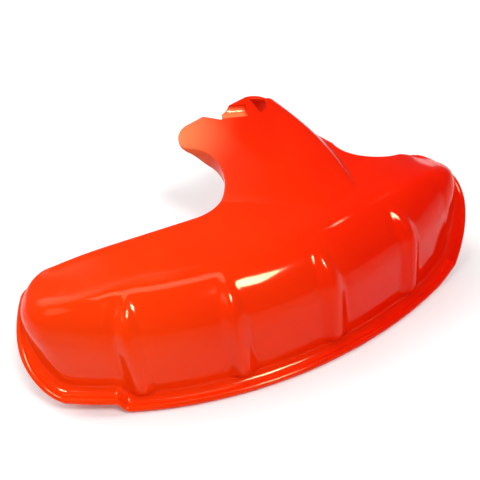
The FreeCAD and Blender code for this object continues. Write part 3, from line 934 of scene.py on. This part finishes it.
@dataclass
class DeckAndNeck:
    """Flat deck, sloping neck, seat, lobe and collar as one height over the plan, above and below."""

    form: GuardForm
    edge: FreeEdge
    trough: Trough

    # Three-cornered opening, as places on the neck
    pocket_left: Pair = (3.6, 9.9)
    pocket_right: Pair = (10.6, 19.0)
    pocket_front: Pair = (20.0, 7.0)
    pocket_bulge: float = 3.0
    pocket_round: float = 0.4

    # Points inside the plan: their spacing, and the room they leave to borders and creases
    neck_ends: Pair = (-16.0, 140.0)
    neck_sides: Pair = (-76.0, 62.0)
    spacing: float = 1.7
    deck_sides: Pair = (-165.0, 165.0)
    deck_ends: Pair = (-66.0, 0.0)
    deck_spacing: float = 12.0
    neck_skip: int = 3  # every third neck point keeps deck points off
    clear: float = 0.6
    crease_clear: float = 0.9
    batches: int = 12

    # How finely slopes, corners and roundings are worked out
    slope_step: float = 0.05
    corner_limit: float = 0.5
    round_points: int = 5
    same_point: float = 1e-6  # points nearer than this are one
    inside_border: int = 1  # Blender's number for triangles inside the border

    def height(self, plan: np.ndarray, side: Side) -> np.ndarray:
        """Skin over the plan: the lower of roof and trough; the underside lies one wall square below it.

        Args:
            plan: plan points.
            side: outer skin or underside.

        Returns:
            One height for each point.
        """
        form = self.form
        z = form.roof(plan)
        if side is Side.IN:
            steps = self.slope_step * np.eye(2)
            span = 2 * self.slope_step
            slopes = [(form.roof(plan + step) - form.roof(plan - step)) / span for step in steps]
            z = z - form.wall * np.sqrt(1 + slopes[0] ** 2 + slopes[1] ** 2)
        return np.minimum(z, self.trough.floor(plan, side))

    def lift(self, plan: np.ndarray, side: Side) -> np.ndarray:
        """Plan points with the skin's height."""
        return np.concatenate([plan, self.height(plan, side)[..., None]], axis=-1)

    def inward(self, line: np.ndarray, closed: bool) -> np.ndarray:
        """Direction into the part at each point of a line, lengthened at corners so that offsets stay even.

        Args:
            line: plan points, with the part to their right.
            closed: whether the line's ends meet.

        Returns:
            One plan vector for each point.
        """
        steps = np.diff(line, axis=0)
        steps /= np.linalg.norm(steps, axis=1, keepdims=True)
        normals = np.stack([steps[:, 1], -steps[:, 0]], axis=1)
        before = np.concatenate([normals[-1:] if closed else normals[:1], normals])
        after = np.concatenate([normals, normals[:1] if closed else normals[-1:]])
        middle = before + after
        return 2 * middle / np.maximum((middle**2).sum(axis=1, keepdims=True), self.corner_limit)

    def rim(
        self, line: np.ndarray, radius: np.ndarray, depth: np.ndarray, wall: np.ndarray, closed: bool
    ) -> np.ndarray:
        """Rounded rim along a line: over the edge, down the side, under it and up behind a hanging wall.

        Args:
            line: plan points with the part to their right.
            radius: edge rounding at each point.
            depth: depth of the hanging wall below the roof, 0 where there is none.
            wall: that wall's thickness.
            closed: whether the line's ends meet.

        Returns:
            The rim's grid, from the skin's border to the underside's border.
        """
        form = self.form
        normal = self.inward(line, closed)
        bend = np.radians(np.linspace(0, 90, self.round_points))[:, None]
        gain = radius * (1 - np.sin(bend))
        fall = radius * (1 - np.cos(bend))
        at = line + gain[..., None] * normal
        top = np.concatenate([at, (self.height(at, Side.OUT) - fall)[..., None]], axis=-1)
        under = self.height(line, Side.IN)
        bottom = np.minimum(under, np.maximum(form.roof(line) - depth, form.deck_under))
        bottom = np.where(depth > 0, bottom, under)
        hang = smooth((under - bottom) / (2 * self.edge.edge_round))
        low = np.where(hang > 0, bottom, self.height(at[::-1], Side.IN))
        foot = np.concatenate([at[::-1], (low + fall[::-1])[..., None]], axis=-1)
        reach = radius + (wall - radius) * hang
        inner_gain = reach - radius + radius * np.sin(bend)
        inner_gain = np.where(hang > 0, np.maximum(inner_gain, radius), radius)
        behind = line + inner_gain[..., None] * normal
        ceiling = self.height(behind, Side.IN)
        rise = np.where(hang > 0, np.minimum(bottom + fall, ceiling), ceiling)
        back = np.concatenate([behind, rise[..., None]], axis=-1)
        border = line + np.where(hang > 0, reach, radius)[:, None] * normal
        return np.concatenate([top, foot, back, self.lift(border, Side.IN)[None]])

    def pocket(self) -> np.ndarray:
        """Closed plan line of the three-cornered opening, with the part to its right.

        Returns:
            Plan points, the last one the same as the first.
        """
        edge = self.edge
        side = edge.bulged(self.pocket_front, self.pocket_right, self.pocket_bulge)
        back = edge.run(tuple(side[-1]), edge.place(self.pocket_left), edge.step)
        left = edge.run(edge.place(self.pocket_left), tuple(side[0]), edge.step)
        return join(side, back, left)

    def interior(self) -> np.ndarray:
        """Plan points inside: close on the neck, wide apart on the flat deck.

        Returns:
            Plan points, some of them outside the border.
        """
        along = np.arange(*self.neck_ends, self.spacing)
        across = np.arange(*self.neck_sides, self.spacing)
        along, across = np.meshgrid(along, across)
        neck = np.stack(self.form.place(along.ravel(), across.ravel()), axis=1)
        x = np.arange(*self.deck_sides, self.deck_spacing)
        y = np.arange(*self.deck_ends, self.deck_spacing)
        x, y = np.meshgrid(x, y)
        deck = np.stack([x.ravel(), y.ravel()], axis=1)
        gap = np.abs(deck[:, None, :] - neck[None, :: self.neck_skip, :]).max(axis=-1).min(axis=1)
        return np.concatenate([neck, deck[gap > self.deck_spacing / 2]])

    def sheet(self, loops: list[np.ndarray], side: Side) -> tuple[np.ndarray, np.ndarray]:
        """Triangles over the plan inside the first loop and outside the second, with the trough's edges kept.

        Args:
            loops: closed plan lines without their repeated last point.
            side: outer skin or underside.

        Returns:
            Points with their heights, and triangles.
        """
        border = np.concatenate(loops)
        creases = []
        for line in self.trough.creases(side):
            creases.append((line, gap_to(line, border, self.batches) > self.crease_clear))
        fixed = np.concatenate([border] + [line[keep] for line, keep in creases])
        loose = self.interior()
        points = np.concatenate([fixed, loose[gap_to(loose, fixed, self.batches) > self.clear]])
        edges = []
        start = 0
        for loop in loops:
            index = np.arange(len(loop))
            edges.append(np.stack([index, np.roll(index, -1)], axis=1) + start)
            start += len(loop)
        for line, keep in creases:
            number = np.cumsum(keep) - 1 + start
            both = keep[:-1] & keep[1:]
            edges.append(np.stack([number[:-1][both], number[1:][both]], axis=1))
            start += int(keep.sum())
        pairs = np.concatenate(edges).tolist()
        spots = [Vector(p) for p in points.tolist()]
        plan, _, faces, *_ = geometry.delaunay_2d_cdt(spots, pairs, [], self.inside_border, self.same_point)
        plan = np.array([tuple(p) for p in plan])
        faces = np.array(faces)
        in_hole = inside_loop(plan[faces].mean(axis=1), loops[1])
        return self.lift(plan, side), faces[~in_hole]

    def build(self, shell: ShellMesh, skin: np.ndarray, lining: np.ndarray, cut_row: int) -> None:
        """Adds skin, underside and rims.

        Args:
            shell: takes the grids.
            skin: skirt's outer grid, whose first row is the deck's border.
            lining: skirt's inner grid.
            cut_row: row at which the skirt's ends meet the free edge.
        """
        line, depth, wall = self.edge.build(skin[cut_row, 0, :2], skin[cut_row, -1, :2])
        way = np.concatenate([[0.0], np.cumsum(np.linalg.norm(np.diff(line, axis=0), axis=1))])
        fade = smooth(np.minimum(way, way[-1] - way) / self.edge.deck_step)
        rim = self.rim(line, self.edge.edge_round * fade, depth, wall, closed=False)
        hole = self.pocket()
        plain = np.zeros(len(hole))
        collar = self.rim(hole, plain + self.pocket_round, plain, plain + self.form.wall, closed=True)
        shell.add(rim, Side.OUT)
        shell.add(collar, Side.OUT)
        for side, grid, row in ((Side.OUT, skin, 0), (Side.IN, lining, -1)):
            front = grid[0, :, :2]
            left = grid[1:cut_row, 0, :2]
            right = grid[1:cut_row, -1, :2]
            loop = np.concatenate([rim[row, :, :2], right[::-1], front[::-1], left])
            points, faces = self.sheet([loop, collar[row, :-1, :2]], side)
            shell.add_faces(points, faces, side)


class Measure(Enum):
    """How a place is measured against a fixed vector."""

    DISTANCE = "DISTANCE"
    DOT = "DOT_PRODUCT"


class Curve(Enum):
    """How a value passes from one level to another."""

    EVEN = "LINEAR"
    SOFT = "SMOOTHSTEP"


class Blend(Enum):
    """How two shares become one."""

    PRODUCT = "MULTIPLY"
    LARGER = "MAXIMUM"


@dataclass
class NodeSheet:
    """A node tree, with short ways to put in the nodes that the finishes share."""

    tree: bpy.types.NodeTree

    def node(self, kind: str, **options: str) -> bpy.types.Node:
        """Adds a node and sets its options.

        Args:
            kind: Blender's name of the node.
            options: its options by name.

        Returns:
            The new node.
        """
        node = self.tree.nodes.new(kind)
        for option, value in options.items():
            setattr(node, option, value)
        return node

    def link(self, source: bpy.types.NodeSocket, target: bpy.types.NodeSocket) -> None:
        """Joins an output to an input."""
        self.tree.links.new(source, target)

    def noise(self, place: bpy.types.NodeSocket, scale: float, detail: float) -> bpy.types.NodeSocket:
        """Soft noise over a place, from 0 to 1.

        Args:
            place: socket that gives the place on the object.
            scale: marks for each metre.
            detail: finer layers in the noise.

        Returns:
            The noise.
        """
        node = self.node("ShaderNodeTexNoise")
        node.inputs["Scale"].default_value = scale
        node.inputs["Detail"].default_value = detail
        self.link(place, node.inputs["Vector"])
        return node.outputs["Fac"]

    def measure(self, place: bpy.types.NodeSocket, how: Measure, vector: Triple) -> bpy.types.NodeSocket:
        """Measure of a place against a fixed vector.

        Args:
            place: socket that gives the place.
            how: distance or dot product.
            vector: the fixed vector.

        Returns:
            The measure.
        """
        node = self.node("ShaderNodeVectorMath", operation=how.value)
        node.inputs[1].default_value = vector
        self.link(place, node.inputs[0])
        return node.outputs["Value"]

    def fade(
        self,
        value: bpy.types.NodeSocket,
        ends: Pair = (0.0, 1.0),
        levels: Pair = (0.0, 1.0),
        curve: Curve = Curve.SOFT,
    ) -> bpy.types.NodeSocket:
        """Passes from one level to another while a value runs between two ends.

        Args:
            value: the value that runs.
            ends: where the passage begins and ends.
            levels: results at the two ends and beyond them.
            curve: even, or soft at both ends.

        Returns:
            The result.
        """
        node = self.node("ShaderNodeMapRange", interpolation_type=curve.value)
        for socket, number in zip(("From Min", "From Max", "To Min", "To Max"), (*ends, *levels)):
            node.inputs[socket].default_value = number
        self.link(value, node.inputs["Value"])
        return node.outputs["Result"]

    def unite(
        self, how: Blend, first: bpy.types.NodeSocket, second: bpy.types.NodeSocket
    ) -> bpy.types.NodeSocket:
        """Product or larger one of two shares.

        Args:
            how: product or larger one.
            first: one share.
            second: the other share.

        Returns:
            The united share.
        """
        node = self.node("ShaderNodeMath", operation=how.value)
        self.link(first, node.inputs[0])
        self.link(second, node.inputs[1])
        return node.outputs["Value"]


@dataclass(frozen=True)
class GlossPlastic:
    """Glossy injection-moulded plastic with faint flow marks, a fine moulding ripple and painted light:
    brighter towards -x, pale by the seat and in the trough.
    """

    name: str = "guard_plastic"

    # Two tones, mixed by flow marks and by a painted light slope along x that brightens the -x side
    deep: Triple = (0.8, 0.009, 0.0006)
    bright: Triple = (0.93, 0.042, 0.002)
    flow_scale: float = 9.0
    flow_detail: float = 3.0
    painted_slope_ends: Pair = (0.2, -0.13)
    painted_slope_share: float = 0.65
    tone_stops: Pair = (0.3, 0.72)

    # Painted light: a pale patch by the seat stands in for the light on the thin lobe, and a pale patch in
    # the trough, which lies near its middle and below the roof's plane, stands in for its lit far wall
    pale: Triple = (0.95, 0.21, 0.07)
    painted_seat_light_middle: Triple = (0.008, 0.046, 0.022)
    painted_seat_light_reach: float = 0.06
    painted_trough_light_middle: Triple = (0.0575, 0.0405, 0.0255)
    painted_trough_light_reach: float = 0.018
    painted_trough_light_core: float = 0.6
    roof_normal: Triple = (0.0663, -0.2254, 1.0)
    roof_levels: Pair = (0.0232, 0.0208)

    # Gloss, ripple and the light that passes a little way into the plastic
    refraction: float = 1.5
    sheen: Triple = (1.0, 0.64, 0.34)
    sheen_level: float = 0.18
    roughness: float = 0.08
    rough_shares: Pair = (0.75, 1.3)
    grain_scale: float = 60.0
    grain_detail: float = 2.0
    ripple: float = 0.02
    ripple_height: float = 0.001
    glow: float = 0.12
    glow_radius: Triple = (1.0, 0.25, 0.08)
    glow_scale: float = 0.004

    def tone(self, sheet: NodeSheet, place: bpy.types.NodeSocket) -> bpy.types.NodeSocket:
        """Colour from the deep to the bright tone, by flow marks and by a painted light slope that brightens
        the -x side.

        Args:
            sheet: takes the nodes.
            place: socket that gives the place on the object.

        Returns:
            The colour.
        """
        flow = sheet.noise(place, self.flow_scale, self.flow_detail)
        axes = sheet.node("ShaderNodeSeparateXYZ")
        sheet.link(place, axes.inputs["Vector"])
        # Painted light: the colour gets brighter towards -x, where more light falls
        slope = sheet.fade(axes.outputs["X"], self.painted_slope_ends, curve=Curve.EVEN)
        mix = sheet.node("ShaderNodeMix")
        mix.inputs["Factor"].default_value = self.painted_slope_share
        sheet.link(flow, mix.inputs["A"])
        sheet.link(slope, mix.inputs["B"])
        tint = sheet.node("ShaderNodeValToRGB")
        stops = zip(tint.color_ramp.elements, self.tone_stops, (self.deep, self.bright))
        for stop, position, colour in stops:
            stop.position = position
            stop.color = (*colour, 1.0)
        sheet.link(mix.outputs["Result"], tint.inputs["Fac"])
        return tint.outputs["Color"]

    def painted_light_share(self, sheet: NodeSheet, place: bpy.types.NodeSocket) -> bpy.types.NodeSocket:
        """Share of the painted light's pale colour by the seat and in the trough.

        Args:
            sheet: takes the nodes.
            place: socket that gives the place on the object.

        Returns:
            The share, 0 to 1.
        """
        away = sheet.measure(place, Measure.DISTANCE, self.painted_seat_light_middle)
        painted_seat_light = sheet.fade(away, (self.painted_seat_light_reach, 0.0))
        away = sheet.measure(place, Measure.DISTANCE, self.painted_trough_light_middle)
        near = sheet.fade(away, (self.painted_trough_light_reach, self.painted_trough_light_reach * self.painted_trough_light_core))
        level = sheet.measure(place, Measure.DOT, self.roof_normal)
        sunk = sheet.fade(level, self.roof_levels)
        return sheet.unite(Blend.LARGER, painted_seat_light, sheet.unite(Blend.PRODUCT, near, sunk))

    def grain(self, sheet: NodeSheet, place: bpy.types.NodeSocket, shader: bpy.types.Node) -> None:
        """Lets one fine noise vary the roughness and ripple the surface.

        Args:
            sheet: takes the nodes.
            place: where on the object the surface is.
            shader: gets roughness and normal.
        """
        grain = sheet.noise(place, self.grain_scale, self.grain_detail)
        low, high = self.rough_shares
        rough = sheet.fade(grain, levels=(self.roughness * low, self.roughness * high), curve=Curve.EVEN)
        sheet.link(rough, shader.inputs["Roughness"])
        bump = sheet.node("ShaderNodeBump")
        bump.inputs["Strength"].default_value = self.ripple
        bump.inputs["Distance"].default_value = self.ripple_height
        sheet.link(grain, bump.inputs["Height"])
        sheet.link(bump.outputs["Normal"], shader.inputs["Normal"])

    def make(self) -> bpy.types.Material:
        """Builds the node material.

        Returns:
            A material that reads Object coordinates.
        """
        material = bpy.data.materials.new(self.name)
        material.use_nodes = True
        sheet = NodeSheet(material.node_tree)
        shader = material.node_tree.nodes["Principled BSDF"]
        place = sheet.node("ShaderNodeTexCoord").outputs["Object"]
        # Painted light: the pale colour is laid over the tone by the seat and in the trough
        painted_light_mix = sheet.node("ShaderNodeMix", data_type="RGBA")
        painted_light_mix.inputs["B"].default_value = (*self.pale, 1.0)
        sheet.link(self.painted_light_share(sheet, place), painted_light_mix.inputs["Factor"])
        sheet.link(self.tone(sheet, place), painted_light_mix.inputs["A"])
        sheet.link(painted_light_mix.outputs["Result"], shader.inputs["Base Color"])
        self.grain(sheet, place, shader)
        shader.inputs["IOR"].default_value = self.refraction
        shader.inputs["Specular IOR Level"].default_value = self.sheen_level
        shader.inputs["Specular Tint"].default_value = (*self.sheen, 1.0)
        shader.inputs["Subsurface Weight"].default_value = self.glow
        shader.inputs["Subsurface Radius"].default_value = self.glow_radius
        shader.inputs["Subsurface Scale"].default_value = self.glow_scale
        return material


@dataclass(frozen=True)
class PaleFloor:
    """Matt pale floor."""

    name: str = "pale_floor"
    shade: float = 0.93
    roughness: float = 0.9

    def make(self) -> bpy.types.Material:
        """Builds the plain material.

        Returns:
            A material of one shade.
        """
        material = bpy.data.materials.new(self.name)
        material.use_nodes = True
        shader = material.node_tree.nodes["Principled BSDF"]
        shader.inputs["Base Color"].default_value = (self.shade, self.shade, self.shade, 1)
        shader.inputs["Roughness"].default_value = self.roughness
        return material


@dataclass
class BladeGuard:
    """The guard itself: one shell that stands for the solid."""

    form: GuardForm = field(default_factory=GuardForm)
    finish: GlossPlastic = field(default_factory=GlossPlastic)
    node: str = "blade_guard"
    slot: str = "guard_plastic"

    def build(self) -> bpy.types.Object:
        """Builds, dresses and hangs the shell on its body.

        Returns:
            The finished piece.
        """
        form = self.form
        shell = ShellMesh()
        strip = SkirtStrip(form)
        skin, lining = strip.build(shell)
        DeckAndNeck(form, FreeEdge(form), Trough(form)).build(shell, skin, lining, strip.cut_row)
        offset = np.array([-form.seat_x, -form.seat_radius, -form.deck_under])
        shell.points = [form.drooped(part) for part in shell.points]
        piece = shell.to_object("guard_shell", offset)
        piece.data.materials.append(self.finish.make())
        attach(piece, "root")
        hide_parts(self.node)
        return piece


@dataclass(frozen=True)
class SoftLight:
    """Rectangular soft light that looks at a point, in metres, watts and degrees.

    A card is seen in reflections alone.
    """

    name: str
    place: Triple
    aim: Triple
    size: Pair
    power: float
    spin: float = 0.0
    spread: float = 180.0
    card: bool = False

    def hang(self) -> bpy.types.Object:
        """Makes the lamp and puts it in its place.

        Returns:
            The lamp.
        """
        data = bpy.data.lights.new(self.name, "AREA")
        data.shape = "RECTANGLE"
        data.size, data.size_y = self.size
        data.energy = self.power
        data.spread = math.radians(self.spread)
        lamp = bpy.data.objects.new(self.name, data)
        lamp.location = self.place
        lamp.visible_diffuse = not self.card
        lamp.rotation_euler = looking(self.place, self.aim, self.spin).to_euler()
        bpy.context.scene.collection.objects.link(lamp)
        return lamp


FRONT_LIGHT = SoftLight(
    "softbox_front", (0.17, -0.65, 1.0), (0.03, -0.06, -0.03), (0.27, 0.27), 7.2, spin=45.0
)


@dataclass
class Studio:
    """Pale floor, soft lights and the camera, in metres and degrees."""

    # Camera at the photograph's viewing angle
    eye: Triple = (-0.0782, -0.409, 0.3263)
    aim: Triple = (0.0362, -0.0123, -0.052)
    roll: float = -8.07
    lens: float = 52.5
    sensor: float = 36.0

    # Room that is brightest towards one side, up to an edge given as the angle's cosine
    bright_side: Triple = (-0.35, 0.5, 0.79)
    bright_edge: float = 0.89
    room_light: Pair = (0.17, 5.0)

    # Floor, a little below the guard
    finish: PaleFloor = field(default_factory=PaleFloor)
    floor_reach: float = 4.0
    floor_points: int = 41
    floor_gap: float = 0.0005

    # Lights, with a bright card at the front one's place
    lights: tuple[SoftLight, ...] = (
        FRONT_LIGHT,
        replace(FRONT_LIGHT, name="card_front", power=50.0, card=True),
        SoftLight("panel_above", (-0.07, -0.02, 1.1), (-0.07, -0.02, 0.0), (0.3, 0.2), 1.7),
        SoftLight("window_right", (0.57, 0.21, 1.0), (0.03, -0.06, -0.03), (0.05, 0.05), 0.35),
        SoftLight("panel_left", (-0.55, -0.25, 0.5), (-0.1, -0.06, -0.03), (0.25, 0.25), 0.7),
        SoftLight("floor_wash", (0.0, 1.0, 1.3), (0.0, 1.0, 0.0), (1.6, 0.5), 9.0, spread=70.0),
    )

    def floor(self, level: float) -> bpy.types.Object:
        """Wide flat floor as a grid.

        Args:
            level: height of the lowest point of the guard.

        Returns:
            The floor.
        """
        line = np.linspace(-self.floor_reach, self.floor_reach, self.floor_points)
        x, y = np.meshgrid(line, line)
        grid = np.stack([x, y, np.full_like(x, level - self.floor_gap)], axis=-1)
        shell = ShellMesh()
        shell.add(grid / MM, Side.OUT)
        floor = shell.to_object("floor", np.zeros(3))
        floor.data.materials.append(self.finish.make())
        floor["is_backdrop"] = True
        return floor

    def room(self) -> None:
        """Lights the room softly: brightest on one side, falling off with the angle from there."""
        world = bpy.data.worlds.new("pale_room")
        world.use_nodes = True
        sheet = NodeSheet(world.node_tree)
        background = world.node_tree.nodes["Background"]
        background.inputs["Color"].default_value = (1, 1, 1, 1)
        way = sheet.node("ShaderNodeTexCoord").outputs["Generated"]
        facing = sheet.measure(way, Measure.DOT, tuple(Vector(self.bright_side).normalized()))
        strength = sheet.fade(facing, (self.bright_edge, 1.0), self.room_light)
        sheet.link(strength, background.inputs["Strength"])
        bpy.context.scene.world = world

    def camera(self) -> bpy.types.Object:
        """Sets the camera at the photograph's viewing angle.

        Returns:
            The camera.
        """
        data = bpy.data.cameras.new("camera")
        data.sensor_width = self.sensor
        data.lens = self.lens
        view = bpy.data.objects.new("camera", data)
        view.matrix_world = Matrix.Translation(self.eye) @ looking(self.eye, self.aim, self.roll).to_4x4()
        bpy.context.scene.collection.objects.link(view)
        bpy.context.scene.camera = view
        return view

    def build(self, level: float) -> list[bpy.types.Object]:
        """Puts up floor, lights, pale surroundings and camera.

        Args:
            level: height of the lowest point of the guard.

        Returns:
            Floor, lamps and camera.
        """
        pieces = [self.floor(level)]
        pieces += [light.hang() for light in self.lights]
        self.room()
        pieces.append(self.camera())
        bpy.context.scene.view_settings.view_transform = "Standard"
        return pieces


def main() -> None:
    """Builds the guard and its studio."""
    logging.basicConfig(level=logging.INFO)
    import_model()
    cad_box = [list(corner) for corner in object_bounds()]
    guard = BladeGuard().build()
    LOG.info("%s: %d faces", guard.name, len(guard.data.polygons))
    for piece in Studio().build(cad_box[0][2]):
        LOG.info("%s: %s", piece.name, piece.type.lower())


if __name__ == "__main__":
    main()
